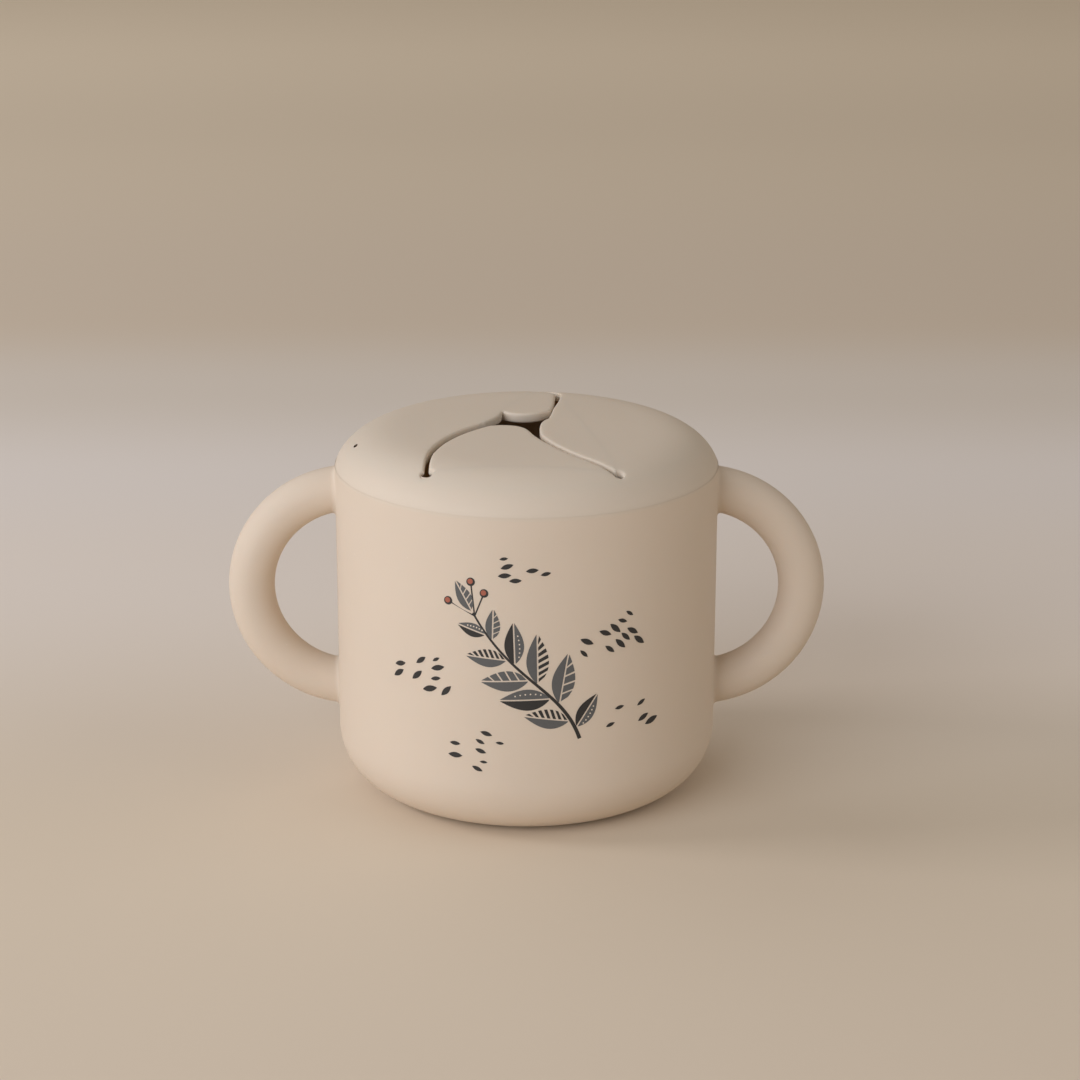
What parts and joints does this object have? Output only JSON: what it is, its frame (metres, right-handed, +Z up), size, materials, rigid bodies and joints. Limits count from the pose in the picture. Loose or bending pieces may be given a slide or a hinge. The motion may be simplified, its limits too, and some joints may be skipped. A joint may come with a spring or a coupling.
{
  "type": "snack cup",
  "caption": "Round soft silicone snack cup with a ring handle on each side and a push-in lid whose curved slits let the top fold open in flaps.",
  "frame": {"origin": "middle of the base, on the plane the cup stands on", "axes": "+Z up through the lid, handles along X, printed front towards -Y"},
  "size_m": [0.1344, 0.0856, 0.0827],
  "materials": {
    "cup_silicone": "matte",
    "lid_silicone": "matte"
  },
  "bodies": {
    "cup": {"cup_body": "cup_silicone", "left_handle": "cup_silicone", "right_handle": "cup_silicone"},
    "lid": {"lid_ring": "lid_silicone"},
    "front_flap": {"front_flap": "lid_silicone"},
    "right_flap": {"right_flap": "lid_silicone"},
    "back_flap": {"back_flap": "lid_silicone"}
  },
  "joints": [
    {"name": "lid_lift", "type": "slide", "parent": "cup", "child": "lid", "axis": [0, 0, 1], "range_m": [0, 0.03]},
    {"name": "front_flap_fold", "type": "hinge", "parent": "lid", "child": "front_flap", "pos_m": [-0.00098, -0.03038, 0.08112], "axis": [-0.9997, 0.0254, -0.0005], "range_deg": [-12, 55], "stiffness_Nm_per_rad": 0.02},
    {"name": "right_flap_fold", "type": "hinge", "parent": "lid", "child": "right_flap", "pos_m": [0.01324, -0.00135, 0.08142], "axis": [0.2, -0.9798, -0.0096], "range_deg": [-5, 55], "stiffness_Nm_per_rad": 0.02},
    {"name": "back_flap_fold", "type": "hinge", "parent": "lid", "child": "back_flap", "pos_m": [-0.00432, 0.0164, 0.08197], "axis": [0.3642, 0.9307, -0.033], "range_deg": [-12, 55], "stiffness_Nm_per_rad": 0.012}
  ]
}
